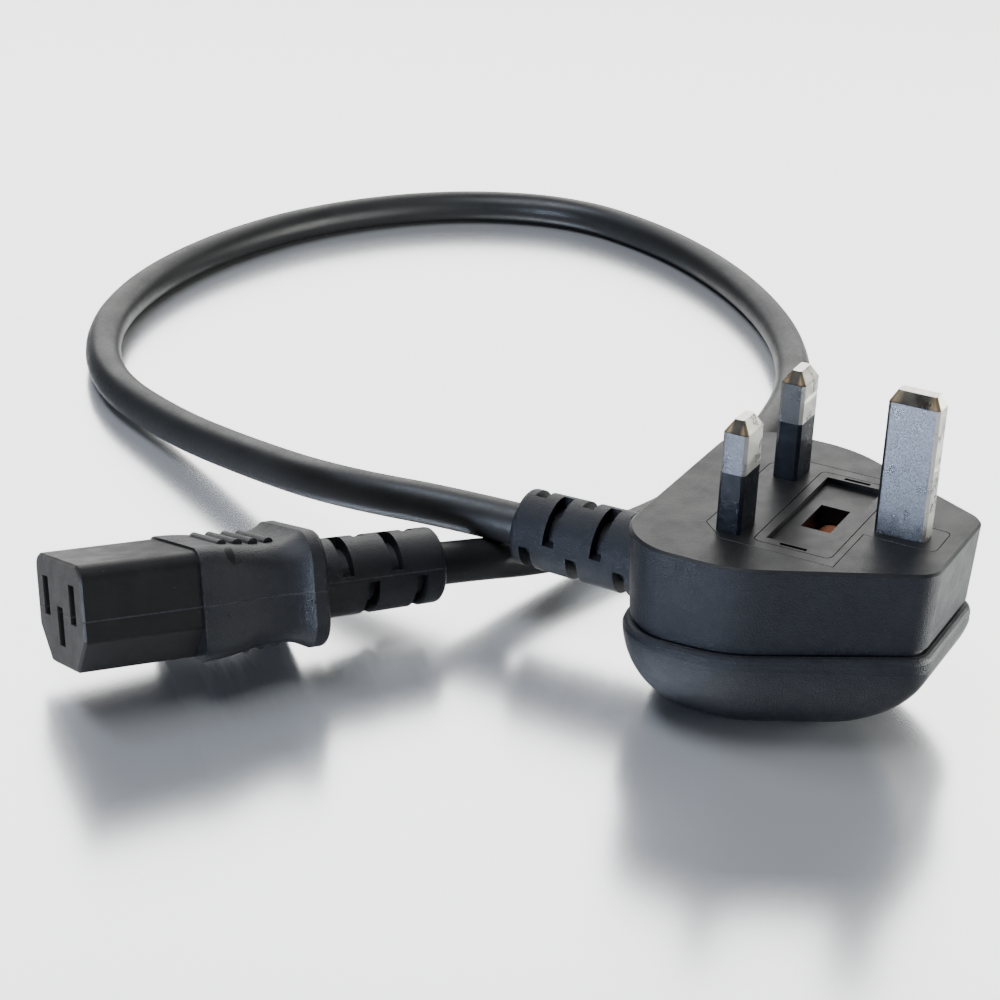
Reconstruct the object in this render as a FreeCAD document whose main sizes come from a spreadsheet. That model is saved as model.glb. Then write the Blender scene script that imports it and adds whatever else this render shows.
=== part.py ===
import FreeCAD, Part
import math
import os

import Sketcher
from FreeCAD import Placement, Rotation, Vector

# A moulded power lead: a three pin fused plug lying on its back with its pins up, a round cord and
# an appliance connector on the cord's other end. Millimetres, +Z up. The origin is on the floor
# below the middle of the plug, +X points to the earth pin and the cord leaves towards -X.

doc = FreeCAD.newDocument("power_lead")
sheet = doc.addObject("Spreadsheet::Sheet", "Sizes")

SIZES = {
    # Plug body
    "face_height": 30.5,
    "back_length": 23.7,
    "front_length": 22.1,
    "body_width": 50.4,
    "shoulder_length": 19.7,
    "end_width": 22.0,
    "cord_corner_radius": 10.0,
    "shoulder_radius": 20.0,
    "end_corner_radius": 4.0,
    "face_edge": 0.4,
    "wall_draft": 1.0,
    # Ledge round the foot of the walls; it rises towards the earth pin
    "ledge_drop": 14.4,
    "ledge_tilt": 1.7,
    "shadow_gap": 1.0,
    "shadow_depth": 0.5,
    # Domed grip at the back, from its rim down to its flat crown
    "rim_overhang": 0.1,
    "rim_band": 2.1,
    "rim_edge_radius": 1.3,
    "crown_back": 20.6,
    "crown_front": 7.4,
    "crown_width": 28.4,
    "crown_shoulder": 14.8,
    "crown_end_width": 13.0,
    "crown_corner_radius": 10.0,
    "crown_shoulder_radius": 14.0,
    "crown_end_radius": 7.0,
    "dome_power": 1.5,
    # Strain relief of the plug
    "relief_drop": 15.2,
    "relief_length": 25.8,
    "relief_root_diameter": 13.4,
    "relief_end_diameter": 12.5,
    "relief_edge_radius": 0.8,
    "relief_core_diameter": 8.6,
    "slot_width": 2.0,
    "slot_pitch": 4.2,
    "slot_from_end": 2.9,
    "slot_web": 1.2,
    "slot_past_top": 1.0,
    "relief_bore_depth": 18.5,
    # Pins and sleeves
    "pin_line": 9.3,
    "pin_spacing": 22.23,
    "earth_offset": 22.23,
    "pin_thickness": 3.97,
    "pin_width": 6.35,
    "pin_height": 17.7,
    "pin_tip_height": 1.9,
    "pin_tip_thickness": 1.5,
    "pin_tip_width": 3.9,
    "pin_edge": 0.5,
    "tip_edge": 0.25,
    "earth_width": 7.92,
    "earth_thickness": 3.97,
    "earth_height": 22.73,
    "earth_tip_height": 1.8,
    "earth_tip_width": 5.9,
    "earth_tip_thickness": 2.0,
    "sleeve_length": 9.5,
    "sleeve_root": 2.0,
    "sleeve_wall": 0.48,
    # Pin carrier and the fuse well in it
    "carrier_depth": 11.5,
    "carrier_margin": 4.2,
    "carrier_reach": 17.5,
    "carrier_border": 2.3,
    "carrier_chamfer": 4.0,
    "tongue_reach": 28.6,
    "tongue_width": 7.8,
    "tongue_radius": 1.2,
    "carrier_edge": 0.15,
    # Fuse drawer
    "drawer_offset": 10.1,
    "drawer_width": 12.0,
    "drawer_end": 1.4,
    "drawer_corner_radius": 1.0,
    "drawer_clearance": 0.15,
    "drawer_plate": 2.2,
    "panel_recess": 0.9,
    "panel_width": 9.2,
    "panel_border": 1.6,
    "window_width": 4.7,
    "window_length": 8.6,
    "prise_slot_width": 4.2,
    "prise_slot_height": 0.7,
    "prise_slot_depth": 1.4,
    "leg_thickness": 1.0,
    "leg_width": 7.0,
    "leg_foot_gap": 0.3,
    "saddle_length": 10.0,
    "saddle_width": 8.6,
    "saddle_grip": 0.9,
    # Fuse
    "fuse_length": 25.4,
    "fuse_diameter": 6.35,
    "fuse_depth": 6.8,
    "cap_length": 5.8,
    "cap_wall": 0.22,
    "cap_end": 0.4,
    "cap_fit": 0.03,
    "barrel_hole": 3.2,
    "element_diameter": 0.5,
    "fuse_fit": 0.1,
    # Spring clips and crimps
    "clip_metal": 0.5,
    "clip_width": 4.5,
    "clip_gap": 0.1,
    "clip_rise": 5.4,
    "clip_flare": 0.8,
    "clip_under_fuse": 0.1,
    "tail_offset": 5.05,
    "crimp_diameter": 3.2,
    "crimp_hole": 1.5,
    "crimp_length": 6.5,
    "crimp_bore_depth": 5.0,
    "foot_depth": 4.45,
    # Cord and its cores
    "cord_diameter": 7.0,
    "cord_fit": 0.1,
    "core_diameter": 2.4,
    "core_fit": 0.15,
    "core_bend_radius": 4.0,
    "wire_diameter": 1.4,
    "core_spread": 1.3,
    "core_lift": 1.5,
    "core_drop": 0.75,
    # Appliance connector
    "insert_width": 24.0,
    "insert_height": 16.5,
    "insert_top_radius": 2.5,
    "insert_chamfer": 5.2,
    "insert_length": 24.0,
    "insert_show": 18.4,
    "insert_edge": 0.4,
    "socket_spacing": 14.0,
    "socket_rise": 2.0,
    "socket_width": 3.0,
    "socket_height": 6.0,
    "socket_lip": 1.5,
    "chamber_width": 4.6,
    "chamber_height": 7.0,
    "chamber_depth": 17.0,
    "contact_front": 2.6,
    "contact_length": 14.2,
    "contact_metal": 0.5,
    "contact_gap": 1.9,
    "contact_flare": 0.7,
    "contact_height": 5.4,
    "contact_tail_width": 0.8,
    "contact_tail_height": 3.6,
    "contact_crimp_start": 25.0,
    "contact_crimp_length": 4.0,
    "contact_crimp_diameter": 2.8,
    "grip_step": 0.4,
    "waist_width": 22.8,
    "waist_height": 15.4,
    "waist_radius": 4.0,
    "waist_at": 31.5,
    "flange_width": 25.6,
    "flange_height": 18.2,
    "flange_radius": 5.0,
    "flange_band": 2.5,
    "flange_at": 38.5,
    "flange_edge_radius": 0.9,
    "rib_length": 13.0,
    "rib_width": 1.5,
    "rib_height": 0.7,
    "rib_pitch": 2.5,
    "rib_from_face": 23.9,
    "connector_relief_length": 22.8,
    "connector_relief_root": 12.8,
    "connector_relief_end": 12.2,
    "connector_slot_from_end": 4.4,
    "connector_bore_depth": 11.0,
    # How the connector lies beside the plug: where its face is, and its turn, dip and roll in degrees
    "connector_face_x": -96.3,
    "connector_face_y": -60.9,
    "connector_heading": 54.0,
    "connector_dip": 3.0,
    "connector_roll": 19.4,
}

for row, (alias, value) in enumerate(SIZES.items(), start=1):
    sheet.set(f"A{row}", alias)
    sheet.set(f"B{row}", str(value))
    sheet.setAlias(f"B{row}", alias)
doc.recompute()


def size(alias):
    """The sheet's value of one size, in millimetres"""
    return float(sheet.get(alias))


def bind(feature, **expressions):
    """Tie properties of a feature to the sheet"""
    for name, expression in expressions.items():
        feature.setExpression(name.replace("__", "."), expression)


# Levels and places that several pieces share
FACE = size("face_height")
LEDGE = FACE - size("ledge_drop")
CARRIER_FOOT = FACE - size("carrier_depth")
PIN_X = -size("pin_line")
EARTH_X = PIN_X + size("earth_offset")
PIN_Y = size("pin_spacing") / 2
CORD_SIDE = -size("back_length")
AXIS_Z = FACE - size("relief_drop")
RELIEF_END = CORD_SIDE - size("relief_length")
FUSE_X = PIN_X + size("drawer_offset")
FUSE_Z = FACE - size("fuse_depth")
DRAWER_LENGTH = size("fuse_length") + 2 * size("drawer_end")
PANEL_LENGTH = DRAWER_LENGTH - 2 * size("panel_border")
WELL_FLOOR = FUSE_Z - size("fuse_diameter") / 2 - size("clip_under_fuse") - size("clip_metal")

FACE_AT = "Sizes.face_height"
LEDGE_AT = "Sizes.face_height - Sizes.ledge_drop"
RIM_FOOT_AT = LEDGE_AT + " - Sizes.rim_band"
CARRIER_FOOT_AT = "Sizes.face_height - Sizes.carrier_depth"
AXIS_AT = "Sizes.face_height - Sizes.relief_drop"
FUSE_AT = "Sizes.face_height - Sizes.fuse_depth"
WELL_FLOOR_AT = FUSE_AT + " - Sizes.fuse_diameter / 2 - Sizes.clip_under_fuse - Sizes.clip_metal"
FUSE_X_AT = "Sizes.drawer_offset - Sizes.pin_line"


# Sketches and features

def new_body(name):
    body = doc.addObject("PartDesign::Body", name + "_body")
    return body


def sketch_on(body, name, role, offset=None):
    """A sketch on one of the body's own origin planes, moved along its normal by an expression"""
    plane = [p for p in body.Origin.OriginFeatures if p.Role == role][0]
    sketch = body.newObject("Sketcher::SketchObject", name)
    sketch.AttachmentSupport = [(plane, "")]
    sketch.MapMode = "FlatFace"
    if offset:
        sketch.setExpression("AttachmentOffset.Base.z", offset)
    return sketch


def draw(sketch, edges):
    for edge in edges:
        sketch.addGeometry(edge, False)
    return sketch


def rounded_loop(corners, radii):
    """Lines and tangent arcs round a polygon given anticlockwise"""
    starts, ends, arcs = [], [], []
    count = len(corners)
    for i, (corner, radius) in enumerate(zip(corners, radii)):
        before = Vector(*corners[i - 1], 0)
        here = Vector(*corner, 0)
        after = Vector(*corners[(i + 1) % count], 0)
        into = (here - before).normalize()
        out = (after - here).normalize()
        turn = into.getAngle(out)
        reach = radius * math.tan(turn / 2)
        start, end = here - into * reach, here + out * reach
        starts.append(start)
        ends.append(end)
        if radius:
            inward = (out - into).normalize()
            centre = here + inward * (radius / math.cos(turn / 2))
            arcs.append(Part.Arc(start, centre - inward * radius, end))
        else:
            arcs.append(None)
    edges = []
    for i in range(count):
        if arcs[i]:
            edges.append(arcs[i])
        if (starts[(i + 1) % count] - ends[i]).Length > 1e-6:
            edges.append(Part.LineSegment(ends[i], starts[(i + 1) % count]))
    return edges


def polygon(points):
    return rounded_loop(points, [0] * len(points))


def rectangle(width, height, centre=(0, 0)):
    x, y = centre
    return polygon([(x - width / 2, y - height / 2), (x + width / 2, y - height / 2),
                    (x + width / 2, y + height / 2), (x - width / 2, y + height / 2)])


def rounded_rectangle(width, height, radius, centre=(0, 0)):
    x, y = centre
    corners = [(x - width / 2, y - height / 2), (x + width / 2, y - height / 2),
               (x + width / 2, y + height / 2), (x - width / 2, y + height / 2)]
    return rounded_loop(corners, [radius] * 4)


def cut_rectangle(width, height, cut, centre):
    """A rectangle whose corners are cut off at 45 degrees"""
    x, y = centre
    a, b = width / 2, height / 2
    corners = [(-a + cut, -b), (a - cut, -b), (a, -b + cut), (a, b - cut),
               (a - cut, b), (-a + cut, b), (-a, b - cut), (-a, -b + cut)]
    return polygon([(x + across, y + up) for across, up in corners])


def grown(corners, distance):
    """The corners of a polygon given anticlockwise, after all its sides have moved out"""
    moved = []
    for i, corner in enumerate(corners):
        here = Vector(*corner, 0)
        into = (here - Vector(*corners[i - 1], 0)).normalize()
        out = (Vector(*corners[(i + 1) % len(corners)], 0) - here).normalize()
        normals = Vector(into.y, -into.x, 0), Vector(out.y, -out.x, 0)
        step = (normals[0] + normals[1]) * (distance / (1 + normals[0].dot(normals[1])))
        moved.append((here.x + step.x, here.y + step.y))
    return moved


def circle(sketch, x, y, diameter):
    """A circle whose place and diameter are tied to the sheet"""
    index = sketch.addGeometry(Part.Circle(Vector(1, 1, 0), Vector(0, 0, 1), 1), False)
    for name, kind, expression in (("across", "DistanceX", x), ("up", "DistanceY", y)):
        number = sketch.addConstraint(Sketcher.Constraint(kind, -1, 1, index, 3, 1.0))
        sketch.renameConstraint(number, f"{name}{index}")
        sketch.setExpression(f"Constraints.{name}{index}", expression)
    number = sketch.addConstraint(Sketcher.Constraint("Diameter", index, 2.0))
    sketch.renameConstraint(number, f"diameter{index}")
    sketch.setExpression(f"Constraints.diameter{index}", diameter)
    return sketch


def pad(body, name, sketch, length, down=False, both=False):
    feature = body.newObject("PartDesign::Pad", name)
    feature.Profile = sketch
    feature.Reversed = down
    if both:
        feature.SideType = "Symmetric"
    bind(feature, Length=length)
    doc.recompute()
    return feature


def pocket(body, name, sketch, length, forward=False, both=False):
    """Cuts against the sketch's normal, or along it if forward; the volume has to fall"""
    before = body.Shape.Volume
    feature = body.newObject("PartDesign::Pocket", name)
    feature.Profile = sketch
    feature.Reversed = forward
    if both:
        feature.SideType = "Symmetric"
    bind(feature, Length=length)
    doc.recompute()
    if body.Shape.Volume > before - 0.01:
        raise ValueError(f"{name} cuts nothing")
    return feature


def edge_names(base, chosen):
    return [f"Edge{i}" for i, edge in enumerate(base.Shape.Edges, start=1) if chosen(edge)]


def chamfer(body, name, base, width, chosen):
    """Cuts the base feature's edges that the test picks"""
    feature = body.newObject("PartDesign::Chamfer", name)
    feature.Base = (base, edge_names(base, chosen))
    bind(feature, Size=width)
    doc.recompute()
    return feature


def soften(body, name, base, radius, at_depth):
    """Three narrow bevels in place of a small rounding; at_depth(d) picks the edges d below the face"""
    middle = 1.5 - math.sqrt(3) / 2
    bevel = chamfer(body, name, base, f"{radius} * {middle}", at_depth(0))
    low = at_depth(size(radius.split(".")[1]) * middle)
    high = at_depth(0)
    return chamfer(body, name + "_ends", bevel, f"{radius} / 4", lambda edge: low(edge) or high(edge))


def level(z):
    """Picks the edges that lie at one height"""
    return lambda edge: edge.BoundBox.ZLength < 1e-4 and abs(edge.BoundBox.ZMin - z) < 1e-3


def finish(name, feature, placement=None):
    """Names a sub-part and puts it in its place"""
    feature.Label = name
    if placement:
        feature.Placement = placement
    PARTS[name] = feature
    return feature


def shape_feature(name, shape, placement=None):
    feature = doc.addObject("Part::Feature", name + "_shape")
    feature.Shape = shape
    return finish(name, feature, placement)


PARTS = {}


# Runs of cord and core

def rounded_path(points, largest=None):
    """Straight runs joined by tangent arcs, each as large as its shorter run allows"""
    edges, radii = [], []
    start = points[0]
    for before, corner, after in zip(points, points[1:], points[2:]):
        into = (corner - before).normalize()
        out = (after - corner).normalize()
        turn = into.getAngle(out)
        reach = 0.45 * min((corner - before).Length, (after - corner).Length)
        if largest:
            reach = min(reach, largest * math.tan(turn / 2))
        radius = reach / math.tan(turn / 2)
        radii.append(radius)
        begin, end = corner - into * reach, corner + out * reach
        inward = (out - into).normalize()
        middle = corner + inward * (radius / math.cos(turn / 2) - radius)
        edges.append(Part.LineSegment(start, begin).toShape())
        edges.append(Part.Arc(begin, middle, end).toShape())
        start = end
    edges.append(Part.LineSegment(start, points[-1]).toShape())
    return Part.Wire(edges), radii


def tube(path, points, diameter):
    ring = Part.Wire(Part.Circle(points[0], points[1] - points[0], diameter / 2).toShape())
    return path.makePipeShell([ring], True, False)


def rod(start, end, diameter):
    along = end - start
    return Part.makeCylinder(diameter / 2, along.Length, start, along)


def rooms_along(points, diameter):
    """Rods that hold a run's straight parts, and a box round each sharp bend"""
    past = diameter / 6
    rooms = []
    for start, end in zip(points, points[1:]):
        along = (end - start).normalize() * past
        rooms.append(rod(start - along, end + along, diameter))
    for before, corner, after in zip(points, points[1:], points[2:]):
        into, out = (corner - before).normalize(), (after - corner).normalize()
        if into.getAngle(out) > 1:
            reach = size("core_bend_radius")
            spots = [corner, corner - into * reach, corner + out * reach]
            low = Vector(*[min(getattr(p, axis) for p in spots) - diameter / 2 for axis in "xyz"])
            high = Vector(*[max(getattr(p, axis) for p in spots) + diameter / 2 for axis in "xyz"])
            rooms.append(Part.makeBox(high.x - low.x, high.y - low.y, high.z - low.z, low))
    return rooms


# Outer moulding of the plug

def six_corners(back, front, width, shoulder, end):
    """Corners of an outline that is wide towards the cord and drawn in to a narrower end"""
    start, side, tip = -size(back), size(width) / 2, size(end) / 2
    nose, bend = size(front), start + size(shoulder)
    return [(start, -side), (bend, -side), (nose, -tip), (nose, tip), (bend, side), (start, side)]


def six_radii(corner, shoulder, end):
    return [size(name) for name in (corner, shoulder, end, end, shoulder, corner)]


WALL_CORNERS = six_corners("back_length", "front_length", "body_width", "shoulder_length", "end_width")
WALL_RADII = six_radii("cord_corner_radius", "shoulder_radius", "end_corner_radius")
CROWN_CORNERS = six_corners("crown_back", "crown_front", "crown_width", "crown_shoulder", "crown_end_width")
CROWN_RADII = six_radii("crown_corner_radius", "crown_shoulder_radius", "crown_end_radius")


def wall_outline(grow=0.0):
    return rounded_loop(grown(WALL_CORNERS, grow), [radius + grow for radius in WALL_RADII])


def grip_outline(inset):
    """The rim's outline at inset 0, the dome's flat crown at inset 1"""
    rim = grown(WALL_CORNERS, size("rim_overhang"))
    corners = [(a + (c - a) * inset, b + (d - b) * inset) for (a, b), (c, d) in zip(rim, CROWN_CORNERS)]
    rounding = [radius + size("rim_overhang") for radius in WALL_RADII]
    return rounded_loop(corners, [a + (b - a) * inset for a, b in zip(rounding, CROWN_RADII)])


def ledge_sketch(body, name):
    """A sketch on the ledge's sloping plane"""
    sketch = sketch_on(body, name, "XY_Plane")
    tilt = Rotation(Vector(0, -1, 0), size("ledge_tilt"))
    sketch.AttachmentOffset = Placement(Vector(0, 0, LEDGE), tilt)
    sketch.setExpression("AttachmentOffset.Base.z", LEDGE_AT)
    return sketch


def below_ledge(depth):
    """Picks the edges that lie at a depth below the ledge's sloping plane"""
    slope = math.tan(math.radians(size("ledge_tilt")))
    return lambda edge: all(abs(end.Z + depth - LEDGE - slope * end.X) < 2e-3 for end in edge.Vertexes)


def carrier_outline():
    back = PIN_X - size("carrier_margin")
    front = PIN_X + size("carrier_reach")
    tip = PIN_X + size("tongue_reach")
    side = DRAWER_LENGTH / 2 + size("carrier_border")
    cut = size("carrier_chamfer")
    tongue = size("tongue_width") / 2
    round_end = size("tongue_radius")
    corners = [(back, -side + cut), (back + cut, -side), (front, -side), (front, -tongue), (tip, -tongue),
               (tip, tongue), (front, tongue), (front, side), (back + cut, side), (back, side - cut)]
    return rounded_loop(corners, [0, 0, 0, 0, round_end, round_end, 0, 0, 0, 0])


def slot_outline(mirror, turn):
    """A quarter of the plane outside the relief's core: what one moulding blade leaves open"""
    core = size("relief_core_diameter") / 2
    web = size("slot_web") / 2
    past = size("slot_past_top")
    far = size("relief_root_diameter")
    side_foot = -math.sqrt(core ** 2 - web ** 2)
    top_foot = math.sqrt(core ** 2 - past ** 2)
    middle = core * math.cos(math.radians(135))

    def place(x, y):
        return Vector(turn * x, turn * mirror * y, 0)

    return [
        Part.Arc(place(side_foot, web), place(middle, -middle), place(past, top_foot)),
        Part.LineSegment(place(past, top_foot), place(past, far)),
        Part.LineSegment(place(past, far), place(-far, far)),
        Part.LineSegment(place(-far, far), place(-far, web)),
        Part.LineSegment(place(-far, web), place(side_foot, web)),
    ]


def strain_relief(body, root, way, length, diameters, axis, slots):
    """A tapered round relief along X from root, with rings of moulded slots across it

    slots: distance of the first ring from the free end, and how many rings open up and down."""
    length_of, (root_size, end_size) = size(length), [size(d) for d in diameters]
    end = root + way * length_of
    rounding = size("relief_edge_radius")
    bury = way * size("cord_corner_radius") / 2
    profile = sketch_on(body, "relief_profile", "XZ_Plane")
    profile.setExpression("AttachmentOffset.Base.y", axis)
    slope = (root_size - end_size) / 2 / length_of
    rim = end_size / 2 + slope * rounding
    lip = []
    for angle in (0, 30, 60, 90):
        turn = math.radians(angle)
        lip.append((end - way * rounding * (1 - math.cos(turn)), rim - rounding * (1 - math.sin(turn))))
    outline = [(root - bury, 0), (end, 0)] + lip + [(root, root_size / 2), (root - bury, root_size / 2)]
    draw(profile, polygon(outline))
    relief = body.newObject("PartDesign::Revolution", "relief")
    relief.Profile = profile
    relief.ReferenceAxis = (profile, ["H_Axis"])
    relief.Angle = 360
    doc.recompute()
    first, counts = slots
    for kind, (mirror, count) in enumerate(zip((-1, 1), counts)):
        ring_x = end - way * (size(first) + kind * size("slot_pitch"))
        originals = []
        for turn in (1, -1):
            name = f"slot_{kind}_{'near' if turn > 0 else 'far'}"
            outline = sketch_on(body, name + "_outline", "YZ_Plane")
            outline.AttachmentOffset = Placement(Vector(0, 0, ring_x), Rotation())
            outline.setExpression("AttachmentOffset.Base.y", axis)
            draw(outline, slot_outline(mirror, turn))
            originals.append(pocket(body, name, outline, "Sizes.slot_width", both=True))
        pattern = body.newObject("PartDesign::LinearPattern", f"slots_{kind}")
        pattern.Originals = originals
        rail = [o for o in body.Origin.OriginFeatures if o.Role == "X_Axis"][0]
        pattern.Direction = (rail, [""])
        pattern.Reversed = way > 0
        pattern.Occurrences = count
        bind(pattern, Length=f"{2 * (count - 1)} * Sizes.slot_pitch")
        body.Tip = pattern
        doc.recompute()
    return end


def build_outer_moulding(hollow):
    body = new_body("outer_moulding")
    wide = 2 * size("body_width")
    rim = draw(sketch_on(body, "rim_outline", "XY_Plane", RIM_FOOT_AT), grip_outline(0))
    pad(body, "rim_band", rim, "2 * Sizes.rim_band")
    above = draw(ledge_sketch(body, "above_ledge"), rectangle(wide, wide))
    ledge = pocket(body, "ledge", above, "2 * Sizes.rim_band", forward=True)
    soften(body, "rim_edge", ledge, "Sizes.rim_edge_radius", below_ledge)
    sections = []
    for i, share in enumerate((0, 0.3, 0.6, 0.82, 0.95, 1)):
        power = size("dome_power")
        inset = 1 - (1 - share ** power) ** (1 / power)
        sketch = sketch_on(body, f"dome_{i}", "XY_Plane", f"({RIM_FOOT_AT}) * {1 - share}")
        sections.append(draw(sketch, grip_outline(inset)))
    doc.recompute()
    dome = body.newObject("PartDesign::AdditiveLoft", "dome")
    dome.Profile = sections[0]
    dome.Sections = sections[1:]
    doc.recompute()
    wall_top = draw(sketch_on(body, "wall_outline", "XY_Plane", FACE_AT), wall_outline())
    wall_foot = sketch_on(body, "wall_foot_outline", "XY_Plane", RIM_FOOT_AT)
    draw(wall_foot, wall_outline(-size("wall_draft")))
    doc.recompute()
    walls = body.newObject("PartDesign::AdditiveLoft", "walls")
    walls.Profile = wall_top
    walls.Sections = [wall_foot]
    walls.Ruled = True
    doc.recompute()
    chamfer(body, "face_edge", walls, "Sizes.face_edge", level(FACE))
    gap = draw(ledge_sketch(body, "gap_outline"), rectangle(wide, wide))
    draw(gap, wall_outline(-size("wall_draft") - size("shadow_depth")))
    pocket(body, "shadow_gap", gap, "Sizes.shadow_gap", forward=True)
    relief_sizes = ("relief_root_diameter", "relief_end_diameter")
    strain_relief(body, CORD_SIDE, -1, "relief_length", relief_sizes, AXIS_AT, ("slot_from_end", (3, 2)))
    bed = draw(sketch_on(body, "carrier_bed", "XY_Plane", FACE_AT), carrier_outline())
    pocket(body, "carrier_pocket", bed, "Sizes.carrier_depth")
    bore = sketch_on(body, "cord_bore_circle", "YZ_Plane", "-Sizes.back_length - Sizes.relief_length")
    circle(bore, "0.0001", AXIS_AT, "Sizes.cord_diameter + 2 * Sizes.cord_fit")
    pocket(body, "cord_bore", bore, "Sizes.relief_bore_depth", forward=True)
    inner = doc.addObject("Part::Feature", "plug_hollow")
    inner.Shape = hollow
    cut = doc.addObject("Part::Cut", "outer_moulding_cut")
    cut.Base = body
    cut.Tool = inner
    doc.recompute()
    return finish("outer_moulding", cut)


# Pins, sleeves and the block that holds them

def blade_outline(width, height, centre, wall=0.0):
    """A pin's section with its corners cut, or what a sleeve's wall leaves of it"""
    cut = size("pin_edge") - wall * (2 - math.sqrt(2))
    return cut_rectangle(width - 2 * wall, height - 2 * wall, cut, centre)


def tip(body, name, x, y, foot, sizes, top_sizes, height):
    """The tapered end of a pin, between its full section and its small flat top"""
    base = sketch_on(body, name + "_foot", "XY_Plane", foot)
    draw(base, blade_outline(size(sizes[0]), size(sizes[1]), (x, y)))
    top = sketch_on(body, name + "_top", "XY_Plane", f"{foot} + {height}")
    draw(top, cut_rectangle(size(top_sizes[0]), size(top_sizes[1]), size("tip_edge"), (x, y)))
    doc.recompute()
    loft = body.newObject("PartDesign::AdditiveLoft", name)
    loft.Profile = base
    loft.Sections = [top]
    loft.Ruled = True
    doc.recompute()


def build_live_pin(name, y, foot_to_crimp):
    """A sleeved pin: full section at the root and the tip, a thinner neck under the sleeve"""
    body = new_body(name)
    thick, wide = size("pin_thickness"), size("pin_width")
    root = sketch_on(body, "root_outline", "XY_Plane", CARRIER_FOOT_AT)
    draw(root, blade_outline(thick, wide, (PIN_X, y)))
    pad(body, "root", root, "Sizes.carrier_depth - Sizes.sleeve_root")
    neck = sketch_on(body, "neck_outline", "XY_Plane", FACE_AT + " - Sizes.sleeve_root")
    draw(neck, blade_outline(thick, wide, (PIN_X, y), size("sleeve_wall")))
    pad(body, "neck", neck, "Sizes.sleeve_root + Sizes.sleeve_length")
    blade = sketch_on(body, "blade_outline", "XY_Plane", FACE_AT + " + Sizes.sleeve_length")
    draw(blade, blade_outline(thick, wide, (PIN_X, y)))
    pad(body, "blade", blade, "Sizes.pin_height - Sizes.pin_tip_height - Sizes.sleeve_length")
    tip_foot = FACE_AT + " + Sizes.pin_height - Sizes.pin_tip_height"
    tip(body, "tip", PIN_X, y, tip_foot, ("pin_thickness", "pin_width"),
        ("pin_tip_thickness", "pin_tip_width"), "Sizes.pin_tip_height")
    if foot_to_crimp:
        foot = sketch_on(body, "foot_outline", "XY_Plane", CARRIER_FOOT_AT)
        draw(foot, rectangle(size("crimp_diameter"), wide, (PIN_X, y)))
        pad(body, "foot", foot, "Sizes.foot_depth", down=True)
        crimp = sketch_on(body, "crimp_circle", "XZ_Plane", "Sizes.pin_spacing / 2 + Sizes.pin_width / 2")
        circle(crimp, "-Sizes.pin_line", CARRIER_FOOT_AT + " - Sizes.foot_depth", "Sizes.crimp_diameter")
        pad(body, "crimp", crimp, "Sizes.pin_width / 2 + Sizes.crimp_length / 2 + 1.5", down=True)
        mouth = sketch_on(body, "crimp_hole_circle", "XZ_Plane",
                          "Sizes.pin_spacing / 2 - Sizes.crimp_length / 2 - 1.5")
        circle(mouth, "-Sizes.pin_line", CARRIER_FOOT_AT + " - Sizes.foot_depth", "Sizes.crimp_hole")
        pocket(body, "crimp_hole", mouth, "Sizes.crimp_bore_depth", forward=True)
    return finish(name, body)


def build_earth_pin():
    body = new_body("earth_pin")
    thick, wide = size("earth_thickness"), size("earth_width")
    blade = sketch_on(body, "blade_outline", "XY_Plane", CARRIER_FOOT_AT)
    draw(blade, blade_outline(wide, thick, (EARTH_X, 0)))
    pad(body, "blade", blade, "Sizes.carrier_depth + Sizes.earth_height - Sizes.earth_tip_height")
    tip(body, "tip", EARTH_X, 0, FACE_AT + " + Sizes.earth_height - Sizes.earth_tip_height",
        ("earth_width", "earth_thickness"), ("earth_tip_width", "earth_tip_thickness"),
        "Sizes.earth_tip_height")
    foot = draw(sketch_on(body, "foot_outline", "XY_Plane", CARRIER_FOOT_AT),
                rectangle(wide, size("crimp_diameter"), (EARTH_X, 0)))
    pad(body, "foot", foot, "Sizes.foot_depth", down=True)
    middle = "Sizes.earth_offset - Sizes.pin_line"
    start = f"{middle} - Sizes.earth_width / 2 - Sizes.crimp_length / 2"
    crimp = sketch_on(body, "crimp_circle", "YZ_Plane", start)
    circle(crimp, "0.0001", CARRIER_FOOT_AT + " - Sizes.foot_depth", "Sizes.crimp_diameter")
    pad(body, "crimp", crimp, "Sizes.crimp_length / 2 + Sizes.earth_width")
    mouth = sketch_on(body, "crimp_hole_circle", "YZ_Plane", start)
    circle(mouth, "0.0001", CARRIER_FOOT_AT + " - Sizes.foot_depth", "Sizes.crimp_hole")
    pocket(body, "crimp_hole", mouth, "Sizes.crimp_bore_depth", forward=True)
    return finish("earth_pin", body)


def build_sleeve(name, y):
    body = new_body(name)
    thick, wide = size("pin_thickness"), size("pin_width")
    outline = sketch_on(body, "sleeve_outline", "XY_Plane", FACE_AT + " - Sizes.sleeve_root")
    draw(outline, blade_outline(thick, wide, (PIN_X, y)))
    draw(outline, blade_outline(thick, wide, (PIN_X, y), size("sleeve_wall")))
    pad(body, "sleeve", outline, "Sizes.sleeve_root + Sizes.sleeve_length")
    return finish(name, body)


def clip_slot_boxes():
    """Where the two clips' tails go down through the floor of the fuse well"""
    metal = size("clip_metal")
    reach = size("fuse_length") / 2 - size("cap_end")
    left = FUSE_X - size("tail_offset")
    spans = (("line", reach - size("clip_width"), reach), ("supply", -reach, size("clip_width") - reach))
    return {name: (left, low, left + metal, high) for name, low, high in spans}


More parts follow.
